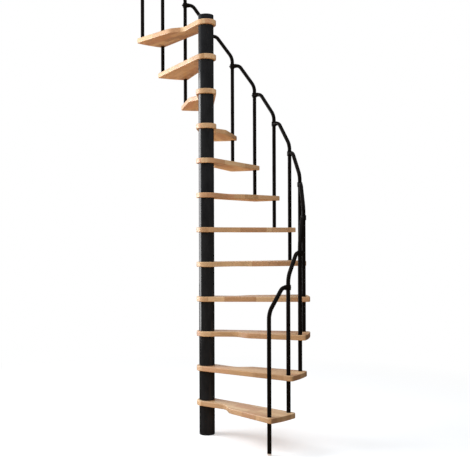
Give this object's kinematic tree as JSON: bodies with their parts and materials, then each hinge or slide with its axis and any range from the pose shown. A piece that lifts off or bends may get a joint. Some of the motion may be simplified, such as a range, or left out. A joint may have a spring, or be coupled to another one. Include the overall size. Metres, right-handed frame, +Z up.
{
  "type": "spiral staircase",
  "caption": "Steep spiral staircase: beech treads with a waved side, turned over on every second step, clamped on a black centre column, and bent tube balusters that link up as the handrail.",
  "frame": {"origin": "centre of the column's foot, on the floor", "axes": "+Z up along the column; +Y away from the picture's viewer; the flight climbs anticlockwise seen from above"},
  "size_m": [1.0818, 1.1418, 3.247],
  "materials": {
    "black_metal": "black paint, satin gloss",
    "beech": "glued staves, clear varnish",
    "pale_foot": "moulded"
  },
  "bodies": {
    "root": {"baluster_01": "black_metal", "baluster_02": "black_metal", "baluster_03": "black_metal", "baluster_04": "black_metal", "baluster_05": "black_metal", "baluster_06": "black_metal", "baluster_07": "black_metal", "baluster_08": "black_metal", "baluster_09": "black_metal", "baluster_10": "black_metal", "baluster_11": "black_metal", "baluster_12": "black_metal", "baluster_13": "black_metal", "column_cap": "black_metal", "column_core": "black_metal", "column_sleeve_01": "black_metal", "column_sleeve_02": "black_metal", "column_sleeve_03": "black_metal", "column_sleeve_04": "black_metal", "column_sleeve_05": "black_metal", "column_sleeve_06": "black_metal", "column_sleeve_07": "black_metal", "column_sleeve_08": "black_metal", "column_sleeve_09": "black_metal", "column_sleeve_10": "black_metal", "column_sleeve_11": "black_metal", "column_sleeve_12": "black_metal", "column_sleeve_13": "black_metal", "rail_joints": "black_metal", "tread_01": "beech", "tread_02": "beech", "tread_03": "beech", "tread_04": "beech", "tread_05": "beech", "tread_06": "beech", "tread_07": "beech", "tread_08": "beech", "tread_09": "beech", "tread_10": "beech", "tread_11": "beech", "tread_12": "beech", "baluster_foot": "pale_foot"}
  },
  "joints": []
}
